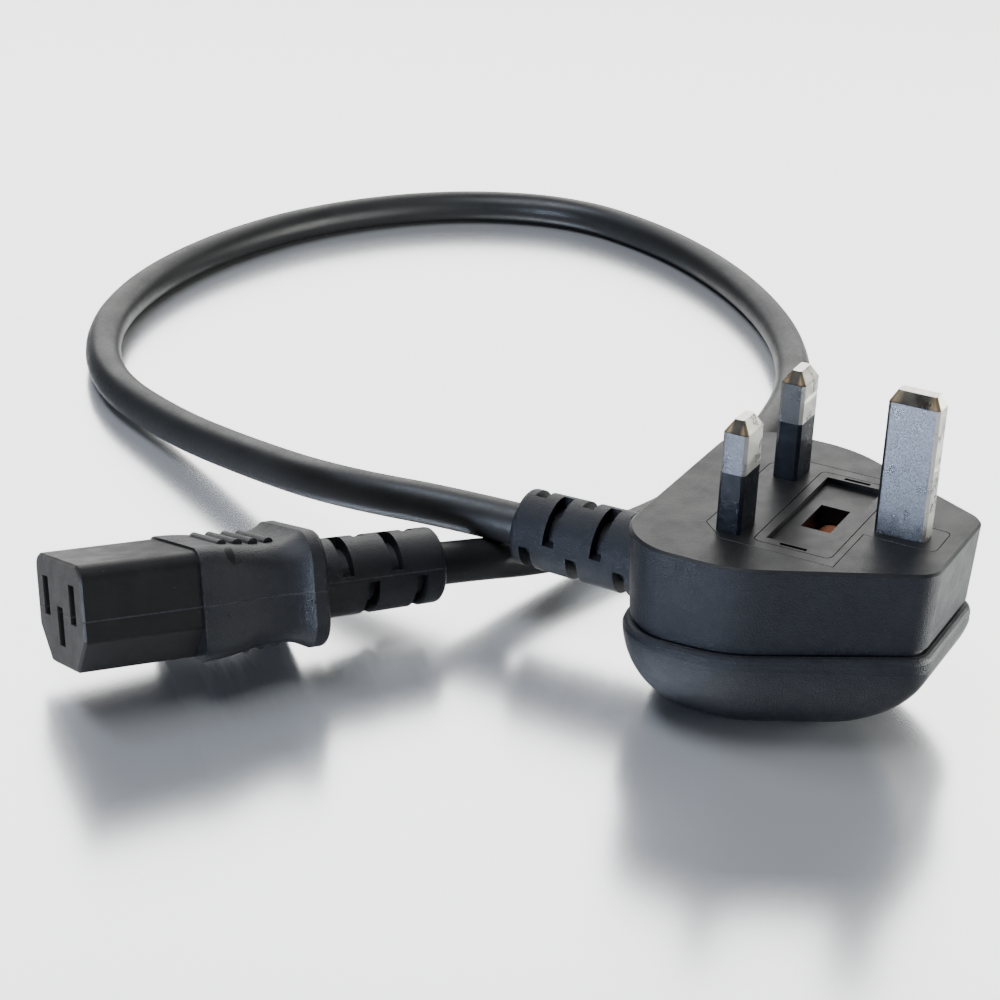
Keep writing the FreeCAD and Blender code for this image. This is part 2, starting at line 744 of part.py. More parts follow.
def build_pin_carrier():
    body = new_body("pin_carrier")
    top = draw(sketch_on(body, "block_outline", "XY_Plane", FACE_AT), carrier_outline())
    block = pad(body, "block", top, "Sizes.carrier_depth", down=True)
    chamfer(body, "block_edge", block, "Sizes.carrier_edge", level(FACE))
    slots = sketch_on(body, "pin_slots", "XY_Plane", FACE_AT)
    for y in (-PIN_Y, PIN_Y):
        draw(slots, blade_outline(size("pin_thickness"), size("pin_width"), (PIN_X, y)))
    draw(slots, blade_outline(size("earth_width"), size("earth_thickness"), (EARTH_X, 0)))
    pocket(body, "pin_slots_cut", slots, "Sizes.carrier_depth")
    well = sketch_on(body, "well_outline", "XY_Plane", FACE_AT)
    gap = 2 * size("drawer_clearance")
    radius = size("drawer_corner_radius") + size("drawer_clearance")
    width, length = size("drawer_width") + gap, DRAWER_LENGTH + gap
    draw(well, rounded_rectangle(width, length, radius, (FUSE_X, 0)))
    pocket(body, "fuse_well", well, f"{FACE_AT} - ({WELL_FLOOR_AT})")
    tails = sketch_on(body, "tail_slots", "XY_Plane", FACE_AT)
    for x0, y0, x1, y1 in clip_slot_boxes().values():
        draw(tails, rectangle(x1 - x0, y1 - y0, ((x0 + x1) / 2, (y0 + y1) / 2)))
    pocket(body, "tail_slots_cut", tails, "Sizes.carrier_depth")
    return finish("pin_carrier", body)


# Fuse drawer, fuse and clips

def build_fuse_carrier():
    body = new_body("fuse_carrier")
    plate_foot = FACE_AT + " - Sizes.drawer_plate"
    plate_outline = sketch_on(body, "plate_outline", "XY_Plane", plate_foot)
    draw(plate_outline, rounded_rectangle(size("drawer_width"), DRAWER_LENGTH,
                                          size("drawer_corner_radius"), (FUSE_X, 0)))
    pad(body, "plate", plate_outline, "Sizes.drawer_plate")
    saddle = sketch_on(body, "saddle_outline", "XY_Plane", plate_foot)
    draw(saddle, rectangle(size("saddle_width"), size("saddle_length"), (FUSE_X, 0)))
    pad(body, "saddle", saddle, "Sizes.fuse_depth - Sizes.drawer_plate + Sizes.saddle_grip", down=True)
    seat = sketch_on(body, "fuse_seat_circle", "XZ_Plane")
    circle(seat, FUSE_X_AT, FUSE_AT, "Sizes.fuse_diameter + 2 * Sizes.fuse_fit")
    pocket(body, "fuse_seat", seat, "Sizes.saddle_length + 1", both=True)
    legs = sketch_on(body, "leg_outlines", "XY_Plane", plate_foot)
    for way in (-1, 1):
        middle = way * (DRAWER_LENGTH - size("leg_thickness")) / 2
        draw(legs, rectangle(size("leg_width"), size("leg_thickness"), (FUSE_X, middle)))
    pad(body, "legs", legs, f"{plate_foot} - ({WELL_FLOOR_AT}) - Sizes.leg_foot_gap", down=True)
    panel = sketch_on(body, "panel_outline", "XY_Plane", FACE_AT)
    draw(panel, rectangle(size("panel_width"), PANEL_LENGTH, (FUSE_X, 0)))
    pocket(body, "panel", panel, "Sizes.panel_recess")
    window = sketch_on(body, "window_outline", "XY_Plane", FACE_AT)
    draw(window, rectangle(size("window_width"), size("window_length"), (FUSE_X, 0)))
    pocket(body, "window", window, "Sizes.fuse_depth")
    prise = sketch_on(body, "prise_slots", "XY_Plane", FACE_AT)
    for way in (-1, 1):
        edge = (DRAWER_LENGTH + PANEL_LENGTH) / 4
        draw(prise, rectangle(size("prise_slot_width"), size("prise_slot_height"), (FUSE_X, way * edge)))
    pocket(body, "prise_slots_cut", prise, "Sizes.prise_slot_depth")
    return finish("fuse_carrier", body)


def cylinder(name, radius, length, middle_y):
    """A cylinder along Y on the fuse's axis; middle_y is where its middle lies"""
    item = doc.addObject("Part::Cylinder", name)
    bind(item, Radius=radius, Height=length, Placement__Base__x=FUSE_X_AT, Placement__Base__z=FUSE_AT,
         Placement__Base__y=f"{middle_y} + ({length}) / 2")
    item.Placement.Rotation = Rotation(Vector(1, 0, 0), 90)
    return item


def cut_of(name, base, tool):
    feature = doc.addObject("Part::Cut", name)
    feature.Base = base
    feature.Tool = tool
    return feature


def build_fuse():
    inside = "Sizes.fuse_length - 2 * Sizes.cap_end"
    outer = cylinder("barrel_outer", "Sizes.fuse_diameter / 2 - Sizes.cap_wall - Sizes.cap_fit", inside, "0")
    hole = cylinder("barrel_bore", "Sizes.barrel_hole / 2", f"{inside} + 1", "0")
    finish("fuse_barrel", cut_of("fuse_barrel_cut", outer, hole))
    for name, way in (("fuse_cap_front", "-1"), ("fuse_cap_back", "1")):
        place = f"{way} * (Sizes.fuse_length - Sizes.cap_length) / 2"
        shell = cylinder(name + "_outer", "Sizes.fuse_diameter / 2", "Sizes.cap_length", place)
        inner_place = f"{way} * ((Sizes.fuse_length - Sizes.cap_length) / 2 - Sizes.cap_end)"
        cavity = cylinder(name + "_inner", "Sizes.fuse_diameter / 2 - Sizes.cap_wall",
                          "Sizes.cap_length", inner_place)
        finish(name, cut_of(name + "_cut", shell, cavity))
    finish("fuse_wire", cylinder("fuse_wire_rod", "Sizes.element_diameter / 2", inside, "0"))


def clip_profile(tail):
    """A bent strip seen along the fuse: a sprung U round the cap, then a tail to tail's points"""
    metal = size("clip_metal")
    inner = size("fuse_diameter") / 2 + size("clip_gap")
    outer = inner + metal
    floor = WELL_FLOOR
    top = floor + size("clip_rise")
    flare = size("clip_flare")
    right = [(outer, floor), (outer, top), (outer + flare, top + flare), (inner + flare, top + flare),
             (inner, top), (inner, floor + metal)]
    left = [(-x, z) for x, z in reversed(right[1:])]
    down = FUSE_X - size("tail_offset")
    shifted = [(FUSE_X + x, z) for x, z in right + left]
    return shifted + [(FUSE_X - outer, floor + metal), (down, floor + metal)] + tail


def build_line_clip():
    """Clip under the fuse's back cap, its tail run under the carrier to the line pin's root"""
    body = new_body("line_clip")
    metal = size("clip_metal")
    down = FUSE_X - size("tail_offset")
    end = PIN_X - size("pin_thickness") / 2
    tail = [(down, CARRIER_FOOT), (end, CARRIER_FOOT), (end, CARRIER_FOOT - metal),
            (down + metal, CARRIER_FOOT - metal), (down + metal, WELL_FLOOR)]
    outline = sketch_on(body, "strip_outline", "XZ_Plane", "Sizes.cap_end - Sizes.fuse_length / 2")
    draw(outline, polygon(clip_profile(tail)))
    pad(body, "strip", outline, "Sizes.clip_width")
    return finish("line_clip", body)


def build_supply_clip():
    """Clip under the fuse's front cap, with a crimp below the carrier for the brown core"""
    body = new_body("supply_clip")
    metal = size("clip_metal")
    down = FUSE_X - size("tail_offset")
    tail = [(down, BROWN_Z), (down + metal, BROWN_Z), (down + metal, WELL_FLOOR)]
    start = "Sizes.fuse_length / 2 - Sizes.cap_end"
    outline = sketch_on(body, "strip_outline", "XZ_Plane", start)
    draw(outline, polygon(clip_profile(tail)))
    pad(body, "strip", outline, "Sizes.clip_width", down=True)
    crimp = sketch_on(body, "crimp_circle", "XZ_Plane", start)
    middle = f"{FUSE_X_AT} - Sizes.tail_offset + Sizes.clip_metal / 2"
    circle(crimp, middle, f"{AXIS_AT} + Sizes.core_lift", "Sizes.crimp_diameter")
    pad(body, "crimp", crimp, "Sizes.crimp_length", down=True)
    mouth = sketch_on(body, "crimp_hole_circle", "XZ_Plane", f"{start} - Sizes.crimp_length")
    circle(mouth, middle, f"{AXIS_AT} + Sizes.core_lift", "Sizes.crimp_hole")
    pocket(body, "crimp_hole", mouth, "Sizes.crimp_bore_depth", forward=True)
    return finish("supply_clip", body)


# Cores inside the plug

BORE_FLOOR = RELIEF_END + size("relief_bore_depth")
CRIMP_Z = CARRIER_FOOT - size("foot_depth")
BROWN_Z = AXIS_Z + size("core_lift")
LOW_Z = AXIS_Z - size("core_drop")
SPREAD = size("core_spread")
CLIP_X = FUSE_X - size("tail_offset") + size("clip_metal") / 2
FUSE_REACH = size("fuse_length") / 2 - size("cap_end")
BROWN_MOUTH = Vector(CLIP_X, size("crimp_length") - FUSE_REACH, BROWN_Z)
BLUE_MOUTH = Vector(PIN_X, -PIN_Y + size("crimp_length") / 2 + 1.5, CRIMP_Z)
EARTH_MOUTH = Vector(EARTH_X - size("earth_width") / 2 - size("crimp_length") / 2, 0, CRIMP_Z)

PLUG_CORES = {
    "brown": [Vector(BORE_FLOOR, 0, BROWN_Z), Vector(CLIP_X, 0, BROWN_Z), BROWN_MOUTH],
    "blue": [Vector(BORE_FLOOR, -SPREAD, LOW_Z), Vector(PIN_X, -SPREAD, CRIMP_Z), BLUE_MOUTH],
    "earth": [Vector(BORE_FLOOR, SPREAD, LOW_Z), Vector(CLIP_X, SPREAD, LOW_Z),
              EARTH_MOUTH - Vector(size("core_bend_radius"), 0, 0), EARTH_MOUTH],
}


def build_plug_cores():
    """Each insulated core, its bare end in its crimp, and the room that the moulding leaves for it"""
    rooms = []
    for colour, points in PLUG_CORES.items():
        path, _ = rounded_path(points, size("core_bend_radius"))
        shape_feature(f"{colour}_core", tube(path, points, size("core_diameter")))
        onward = (points[-1] - points[-2]).normalize()
        inside = points[-1] + onward * (size("crimp_bore_depth") - size("core_fit"))
        shape_feature(f"{colour}_wire", rod(points[-1], inside, size("wire_diameter")))
        rooms += rooms_along(points, size("core_diameter") + 2 * size("core_fit"))
    return rooms


def plug_hollow(rooms):
    """What the outer moulding flows round below the carrier: cores, crimps, feet and the clip's tail"""
    fit = size("core_fit")
    metal = size("clip_metal")
    crimp = size("crimp_diameter")
    boxes = []
    tail_start = PIN_X - size("pin_thickness") / 2
    tail_end = FUSE_X - size("tail_offset") + metal
    x0, y0, x1, y1 = clip_slot_boxes()["line"]
    boxes.append((tail_start, y0, CARRIER_FOOT - metal, tail_end - tail_start, y1 - y0, metal))
    x0, y0, x1, y1 = clip_slot_boxes()["supply"]
    boxes.append((x0, y0, BROWN_Z, metal, y1 - y0, CARRIER_FOOT - BROWN_Z))
    wide = size("pin_width")
    boxes.append((PIN_X - crimp / 2, -PIN_Y - wide / 2, CRIMP_Z, crimp, wide, CARRIER_FOOT - CRIMP_Z))
    broad = size("earth_width")
    boxes.append((EARTH_X - broad / 2, -crimp / 2, CRIMP_Z, broad, crimp, CARRIER_FOOT - CRIMP_Z))
    solids = [Part.makeBox(dx, dy, dz, Vector(x, y, z)) for x, y, z, dx, dy, dz in boxes]
    ends = [
        (Vector(PIN_X, -PIN_Y - wide / 2, CRIMP_Z), BLUE_MOUTH),
        (Vector(CLIP_X, -FUSE_REACH, BROWN_Z), BROWN_MOUTH),
        (Vector(EARTH_X + broad / 2, 0, CRIMP_Z), EARTH_MOUTH),
    ]
    solids += [rod(start, end, crimp + 2 * fit) for start, end in ends]
    whole = solids[0].fuse(solids[1:] + rooms)
    return whole


# Appliance connector, built with its face at the local origin and the cord leaving along local +X

def resting_height():
    """Height of the face's middle when the flange's lowest corner touches the floor"""
    roll, dip = math.radians(size("connector_roll")), math.radians(size("connector_dip"))
    radius, edge = size("flange_radius"), size("flange_edge_radius")
    across = (size("flange_width") / 2 - radius) * math.sin(roll)
    up = (size("flange_height") / 2 - radius) * math.cos(roll)
    reach = across + up + radius - edge
    return reach * math.cos(dip) + edge + (size("flange_at") - edge) * math.sin(dip)


CONNECTOR_TURN = Rotation(size("connector_heading"), size("connector_dip"), -size("connector_roll"))
CONNECTOR_FACE = Vector(size("connector_face_x"), size("connector_face_y"), resting_height())
CONNECTOR_PLACE = Placement(CONNECTOR_FACE, CONNECTOR_TURN)
ALONG = CONNECTOR_TURN.multVec(Vector(1, 0, 0))
CONNECTOR_LENGTH = size("flange_at") + size("connector_relief_length")
CONNECTOR_END = CONNECTOR_FACE + ALONG * CONNECTOR_LENGTH
CONNECTOR_BORE = CONNECTOR_LENGTH - size("connector_bore_depth")


def insert_outline(grow=0.0):
    side = size("insert_width") / 2 + grow
    top = size("insert_height") / 2 + grow
    cut = size("insert_chamfer")
    corners = [(-side, -top + cut), (-side + cut, -top), (side - cut, -top), (side, -top + cut),
               (side, top), (-side, top)]
    radius = size("insert_top_radius") + grow
    return rounded_loop(corners, [1.0, 1.0, 1.0, 1.0, radius, radius])


def sockets():
    """Across and up of the line, neutral and earth sockets in the connector's face"""
    side, rise = size("socket_spacing") / 2, size("socket_rise")
    return {"line": (side, rise), "neutral": (-side, rise), "earth": (0, -rise)}


def build_connector_insert():
    body = new_body("connector_insert")
    outline = draw(sketch_on(body, "block_outline", "YZ_Plane"), insert_outline())
    block = pad(body, "block", outline, "Sizes.insert_length")
    chamfer(body, "face_edge", block, "Sizes.insert_edge",
            lambda edge: edge.BoundBox.XLength < 1e-4 and abs(edge.BoundBox.XMin) < 1e-3)
    steps = (
        ("sockets", "socket_width", "socket_height", "0", "Sizes.socket_lip"),
        ("chambers", "chamber_width", "chamber_height", "Sizes.socket_lip",
         "Sizes.chamber_depth - Sizes.socket_lip"),
        ("tail_holes", "contact_tail_width", "contact_tail_height", "Sizes.chamber_depth",
         "Sizes.insert_length - Sizes.chamber_depth"),
    )
    for name, width, height, start, length in steps:
        sketch = sketch_on(body, name + "_outline", "YZ_Plane", start)
        for centre in sockets().values():
            draw(sketch, rectangle(size(width), size(height), centre))
        pocket(body, name, sketch, length, forward=True)
    return finish("connector_insert", body, CONNECTOR_PLACE)


def build_contact(name, across, rise):
    """A folded spring contact seen from above: two leaves, a web, a tail and a crimp"""
    body = new_body(f"connector_{name}_contact")
    front = size("contact_front")
    back = front + size("contact_length")
    metal = size("contact_metal")
    inner = size("contact_gap") / 2
    outer = inner + metal
    flare = size("contact_flare")
    tail = size("contact_tail_width") / 2
    crimp = size("contact_crimp_start")
    half = [(front, inner + flare), (front + flare, inner), (back - metal, inner)]
    rim = [(crimp, tail), (back, tail), (back, outer), (front + flare, outer), (front, outer + flare)]
    points = half + [(x, -y) for x, y in reversed(half)] + [(x, -y) for x, y in reversed(rim)] + rim
    outline = sketch_on(body, "leaf_outline", "XY_Plane")
    outline.AttachmentOffset = Placement(Vector(0, 0, rise), Rotation())
    draw(outline, polygon([(x, across + y) for x, y in points]))
    pad(body, "leaves", outline, "Sizes.contact_height", both=True)
    trim = sketch_on(body, "tail_trim", "XZ_Plane")
    reach = size("contact_height")
    low = size("contact_tail_height") / 2
    for way in (-1, 1):
        middle = (crimp + back) / 2, rise + way * (reach + low) / 2
        draw(trim, rectangle(crimp - back, reach - low, middle))
    pocket(body, "tail_cut", trim, "2 * Sizes.insert_width", both=True)
    barrel = sketch_on(body, "crimp_circle", "YZ_Plane", "Sizes.contact_crimp_start - 0.4")
    spot = (str(across + 0.0001), str(rise))
    circle(barrel, *spot, "Sizes.contact_crimp_diameter")
    pad(body, "crimp", barrel, "Sizes.contact_crimp_length + 0.4")
    hole = sketch_on(body, "crimp_hole_circle", "YZ_Plane",
                     "Sizes.contact_crimp_start + Sizes.contact_crimp_length")
    circle(hole, *spot, "Sizes.crimp_hole")
    pocket(body, "crimp_hole", hole, "Sizes.contact_crimp_length - 1")
    return finish(f"connector_{name}_contact", body, CONNECTOR_PLACE)


def connector_core_points():
    """From each contact's crimp to the end of the cord's sheath"""
    mouth = size("contact_crimp_start") + size("contact_crimp_length")
    lead = mouth + size("core_bend_radius")
    far = CONNECTOR_BORE
    ends = {"line": (0, size("core_lift")), "neutral": (-SPREAD, -size("core_drop")),
            "earth": (SPREAD, -size("core_drop"))}
    cores = {}
    for name, (across, rise) in sockets().items():
        side, up = ends[name]
        cores[name] = [Vector(mouth, across, rise), Vector(lead, across, rise),
                       Vector(far - size("core_bend_radius"), side, up), Vector(far, side, up)]
    return cores


def build_connector_cores():
    names = {"line": "brown", "neutral": "blue", "earth": "earth"}
    rooms = []
    for name, points in connector_core_points().items():
        path, _ = rounded_path(points, size("core_bend_radius"))
        core = tube(path, points, size("core_diameter"))
        shape_feature(f"connector_{names[name]}_core", core, CONNECTOR_PLACE)
        rooms += rooms_along(points, size("core_diameter") + 2 * size("core_fit"))
        across, rise = sockets()[name]
        start = Vector(size("insert_length"), across, rise)
        crimp = size("contact_crimp_diameter") + 2 * size("core_fit")
        rooms.append(rod(start, points[0], crimp))
        wide, tall = size("contact_tail_width"), size("contact_tail_height")
        corner = start - Vector(0, wide / 2, tall / 2)
        rooms.append(Part.makeBox(size("contact_crimp_start") - start.x, wide, tall, corner))
    return rooms


def build_ribs(body):
    """Four round finger ribs across the top of the grip and four below"""
    sketch = sketch_on(body, "rib_circles", "XZ_Plane")
    fall = "(Sizes.insert_height / 2 + Sizes.grip_step - Sizes.waist_height / 2)"
    for i in range(4):
        along = f"(Sizes.rib_from_face + {i} * Sizes.rib_pitch)"
        share = f"({along} - Sizes.insert_show) / (Sizes.waist_at - Sizes.insert_show)"
        surface = f"Sizes.insert_height / 2 + Sizes.grip_step - {fall} * {share}"
        rise = f"({surface} + Sizes.rib_height - Sizes.rib_width / 2)"
        for side in ("", "-"):
            circle(sketch, along, side + rise, "Sizes.rib_width")
    pad(body, "ribs", sketch, "Sizes.rib_length", both=True)


def grip_sections():
    """Distance from the face, width, height and corner radius of the grip, out to its flange"""
    front = (size("insert_width") + 2 * size("grip_step"), size("insert_height") + 2 * size("grip_step"),
             size("insert_top_radius") + size("grip_step"))
    waist = (size("waist_width"), size("waist_height"), size("waist_radius"))
    flange = (size("flange_width"), size("flange_height"), size("flange_radius"))
    show, neck, rise = size("insert_show"), size("waist_at"), size("flange_at") - size("flange_band")

    def between(a, b, share):
        return [u + (v - u) * share for u, v in zip(a, b)]

    return (
        (show, *front),
        ((show + neck) / 2, *between(front, waist, 0.5)),
        (neck, *waist),
        ((neck + rise) / 2, *between(waist, flange, 0.25)),
        (rise, *flange),
    )


def build_connector_moulding(hollow):
    body = new_body("connector_moulding")
    flange = grip_sections()[-1][1:]
    sections = []
    for i, (along, wide, tall, radius) in enumerate(grip_sections()):
        sketch = sketch_on(body, f"grip_{i}", "YZ_Plane")
        sketch.AttachmentOffset = Placement(Vector(0, 0, along), Rotation())
        sections.append(draw(sketch, rounded_rectangle(wide, tall, radius)))
    doc.recompute()
    grip = body.newObject("PartDesign::AdditiveLoft", "grip")
    grip.Profile = sections[0]
    grip.Sections = sections[1:]
    doc.recompute()
    rim = sketch_on(body, "flange_outline", "YZ_Plane", "Sizes.flange_at - Sizes.flange_band")
    draw(rim, rounded_rectangle(*flange))
    plate = pad(body, "flange", rim, "Sizes.flange_band")
    end = size("flange_at")
    soften(body, "flange_edge", plate, "Sizes.flange_edge_radius", lambda depth: (
        lambda edge: edge.BoundBox.XLength < 1e-4 and abs(edge.BoundBox.XMin + depth - end) < 1e-3))
    build_ribs(body)
    relief_sizes = ("connector_relief_root", "connector_relief_end")
    strain_relief(body, end, 1, "connector_relief_length", relief_sizes, "0",
                  ("connector_slot_from_end", (2, 2)))
    bed = draw(sketch_on(body, "insert_bed", "YZ_Plane", "Sizes.insert_show - 1"), insert_outline())
    pocket(body, "insert_pocket", bed, "Sizes.insert_length - Sizes.insert_show + 1", forward=True)
    bore = sketch_on(body, "cord_bore_circle", "YZ_Plane",
                     "Sizes.flange_at + Sizes.connector_relief_length")
    circle(bore, "0.0001", "0.0001", "Sizes.cord_diameter + 2 * Sizes.cord_fit")
    pocket(body, "cord_bore", bore, "Sizes.connector_bore_depth")
    inner = doc.addObject("Part::Feature", "connector_hollow")
    inner.Shape = hollow[0].fuse(hollow[1:])
    cut = cut_of("connector_moulding_cut", body, inner)
    doc.recompute()
    return finish("connector_moulding", cut, CONNECTOR_PLACE)


# The cord lies on the floor in one wide loop and passes under its own start

CORD_REST = size("cord_diameter") / 2
CORD_LOOP = [
    (-86, 1.5, 12.8), (-112, 9.5, 7.8), (-136, 21, 4.4), (-158, 35.5, CORD_REST), (-175.5, 56, CORD_REST),
    (-185.2, 82, CORD_REST), (-184, 111, CORD_REST), (-173.5, 139, CORD_REST), (-155, 164, CORD_REST),
    (-130, 177, CORD_REST), (-102, 174.5, CORD_REST), (-76, 159, CORD_REST), (-54, 136, CORD_REST),
    (-43, 108, CORD_REST), (-38.5, 80, CORD_REST), (-38.5, 53, CORD_REST), (-44, 27, CORD_REST),
    (-51.4, 8, 6.0),
]


def build_cord():
    first = [Vector(BORE_FLOOR, 0, AXIS_Z), Vector(RELIEF_END - 8.5, 0, AXIS_Z)]
    last = [CONNECTOR_END + ALONG * 5, CONNECTOR_END - ALONG * size("connector_bore_depth")]
    points = first + [Vector(*p) for p in CORD_LOOP] + last
    path, radii = rounded_path(points)
    body = tube(path, points, size("cord_diameter"))
    section = math.pi * size("cord_diameter") ** 2 / 4
    print("cord runs", [round((b - a).Length, 1) for a, b in zip(points, points[1:])])
    print("cord radii", [round(r, 1) for r in radii])
    print("cord length", round(path.Length, 1), "volume share", round(body.Volume / section / path.Length, 5))
    print("cord points", [(round(p.x, 2), round(p.y, 2), round(p.z, 2)) for p in points])
    return shape_feature("cord", body)


core_rooms = build_plug_cores()
build_outer_moulding(plug_hollow(core_rooms))
build_pin_carrier()
build_live_pin("line_pin", PIN_Y, False)
build_live_pin("neutral_pin", -PIN_Y, True)
build_earth_pin()
build_sleeve("line_sleeve", PIN_Y)
build_sleeve("neutral_sleeve", -PIN_Y)
build_fuse_carrier()
build_fuse()
build_line_clip()
build_supply_clip()
build_connector_insert()
for socket, (socket_across, socket_rise) in sockets().items():
    build_contact(socket, socket_across, socket_rise)
build_connector_moulding(build_connector_cores())
build_cord()
doc.recompute()

for item in doc.Objects:
    if "Invalid" in item.State or "Error" in item.State:
        raise ValueError(f"{item.Name} failed: {item.State}")
os.makedirs("parts", exist_ok=True)
for name, feature in PARTS.items():
    shape = feature.Shape
    if shape.isNull() or not shape.isValid():
        raise ValueError(f"{name} has a bad shape")
    print(name, len(shape.Solids), "solid", round(shape.Volume, 2), "mm3")
    shape.exportStep(f"parts/{name}.step")
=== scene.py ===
# %% [markdown]
# # A moulded power lead in its studio
#
# The construction model comes in as a fixed frame: every piece is already where it belongs, in
# metres, with +Z up and the floor at zero. This file adds what a photograph shows beyond shape:
# the supple cord, the surfaces, a floor and soft light. The plug lies on its domed back, so the
# pins point up.

import math

import bpy
from mathutils import Matrix, Vector


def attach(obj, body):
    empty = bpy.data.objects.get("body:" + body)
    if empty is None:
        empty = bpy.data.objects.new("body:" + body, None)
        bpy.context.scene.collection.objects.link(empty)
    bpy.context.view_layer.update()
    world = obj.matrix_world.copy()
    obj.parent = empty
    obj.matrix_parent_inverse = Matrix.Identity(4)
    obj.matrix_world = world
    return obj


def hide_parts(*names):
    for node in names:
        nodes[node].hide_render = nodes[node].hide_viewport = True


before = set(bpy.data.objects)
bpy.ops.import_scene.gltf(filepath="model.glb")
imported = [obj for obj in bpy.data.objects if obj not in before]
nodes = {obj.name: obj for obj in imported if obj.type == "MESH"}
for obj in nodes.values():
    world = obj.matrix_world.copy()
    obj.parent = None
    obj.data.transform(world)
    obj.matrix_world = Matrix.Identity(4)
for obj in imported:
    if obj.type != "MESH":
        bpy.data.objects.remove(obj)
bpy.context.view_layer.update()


# %% [markdown]
# ## Camera
#
# Three flat pins of known size make a good ruler. Their corners fix the camera: how far it is
# away, how steeply it looks down and its long lens. The picture is turned by about two degrees,
# which is the camera's own tilt, so the tilt goes on the camera and the floor stays level.

# %% Place the camera
CAMERA_PLACE = Vector((0.1060, -0.3125, 0.1852))
CAMERA_TARGET = Vector((-0.0429, -0.0224, 0.0305))
CAMERA_TILT = math.radians(2.35)
CAMERA_LENS = 86.4


def camera_turn(place, target, tilt):
    """Columns are the picture's right, its up and the way back to the camera"""
    back = (place - target).normalized()
    right = Vector((0, 0, 1)).cross(back).normalized()
    up = back.cross(right)
    across = right * math.cos(tilt) + up * math.sin(tilt)
    upward = up * math.cos(tilt) - right * math.sin(tilt)
    return Matrix((across, upward, back)).transposed()


camera_data = bpy.data.cameras.new("camera")
camera_data.lens = CAMERA_LENS
camera_data.sensor_width = 36
camera_data.sensor_fit = "HORIZONTAL"
camera_data.clip_start = 0.01
camera = bpy.data.objects.new("camera", camera_data)
turn = camera_turn(CAMERA_PLACE, CAMERA_TARGET, CAMERA_TILT)
camera.matrix_world = Matrix.Translation(CAMERA_PLACE) @ turn.to_4x4()
bpy.context.collection.objects.link(camera)
bpy.context.scene.camera = camera
print(f"camera stands {(CAMERA_PLACE - CAMERA_TARGET).length:.3f} m away with a {CAMERA_LENS} mm lens")

# %% [markdown]
# ## Cord
#
# A moulded lead is stiff, so it swings in one wide loop instead of lying in kinks. The points
# below steer a smooth curve: straight out of the plug's strain relief, down to the floor, round
# the loop and under its own start, then up a little into the connector. A curve with a round
# section suits it better than a mesh, because its line stays editable. Each point carries the
# cord's radius and the bevel is one unit deep, so the curve's box is the cord's true box.

# %% Steer the cord
CORD_DIAMETER = 0.007
CORD_POINTS = [
    (-0.0310, 0.0000, 0.0153),
    (-0.0580, 0.0000, 0.0153),
    (-0.0862, 0.0005, 0.0128),
    (-0.1112, 0.0116, 0.0078),
    (-0.1353, 0.0221, 0.0044),
    (-0.1591, 0.0343, 0.0035),
    (-0.1760, 0.0557, 0.0035),
    (-0.1843, 0.0821, 0.0035),
    (-0.1845, 0.1110, 0.0035),
    (-0.1765, 0.1405, 0.0035),
    (-0.1570, 0.1665, 0.0035),
    (-0.1302, 0.1790, 0.0035),
    (-0.1029, 0.1716, 0.0035),
    (-0.0787, 0.1558, 0.0035),
    (-0.0579, 0.1336, 0.0035),
    (-0.0441, 0.1078, 0.0035),
    (-0.0393, 0.0799, 0.0035),
    (-0.0385, 0.0530, 0.0035),
    (-0.0440, 0.0270, 0.0035),
    (-0.0514, 0.0080, 0.0060),
    (-0.05738, -0.00734, 0.00994),
    (-0.06677, -0.02026, 0.01078),
]
print(f"cord is steered by {len(CORD_POINTS)} points")

# %% Draw the cord
cord_data = bpy.data.curves.new("cord_sheath", "CURVE")
cord_data.dimensions = "3D"
cord_data.resolution_u = 12
cord_data.bevel_depth = 1.0
cord_data.bevel_resolution = 8
cord_data.use_fill_caps = True
spline = cord_data.splines.new("NURBS")
spline.points.add(len(CORD_POINTS) - 1)
for point, place in zip(spline.points, CORD_POINTS):
    point.co = (*place, 1)
    point.radius = CORD_DIAMETER / 2
spline.order_u = 3
spline.use_endpoint_u = True
cord = bpy.data.objects.new("cord_sheath", cord_data)
bpy.context.collection.objects.link(cord)
print(f"cord is {CORD_DIAMETER * 1000:.1f} mm thick")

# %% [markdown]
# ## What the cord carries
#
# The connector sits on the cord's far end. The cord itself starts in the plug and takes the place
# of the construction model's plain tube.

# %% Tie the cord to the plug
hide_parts("cord")
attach(cord, "plug")

# %% [markdown]
# ## Small helpers for shader nodes
#
# A surface here is a chain of small steps: a texture, a mapping to the wanted range, a mix of two
# colours. Each helper makes one such step, so that the materials further down read like recipes.

# %% Add a node or a group
def new_node(tree, kind, settings=None, **inputs):
    """Adds a node; settings are its properties, inputs its sockets by name"""
    node = tree.nodes.new(kind)
    for name, value in (settings or {}).items():
        setattr(node, name, value)
    for name, value in inputs.items():
        socket = node.inputs[name.replace("_", " ")]
        if isinstance(value, bpy.types.NodeSocket):
            tree.links.new(value, socket)
        else:
            socket.default_value = value
    return node


def new_group(name, inputs, outputs):
    """A shader node group with float inputs and the given outputs"""
    group = bpy.data.node_groups.new(name, "ShaderNodeTree")
    for label, value in inputs.items():
        socket = group.interface.new_socket(label, in_out="INPUT", socket_type="NodeSocketFloat")
        socket.default_value = value
    for label, kind in outputs.items():
        group.interface.new_socket(label, in_out="OUTPUT", socket_type=kind)
    return group, group.nodes.new("NodeGroupInput"), group.nodes.new("NodeGroupOutput")


def use_group(tree, group, **inputs):
    return new_node(tree, "ShaderNodeGroup", {"node_tree": group}, **inputs)


print("node makers ready")

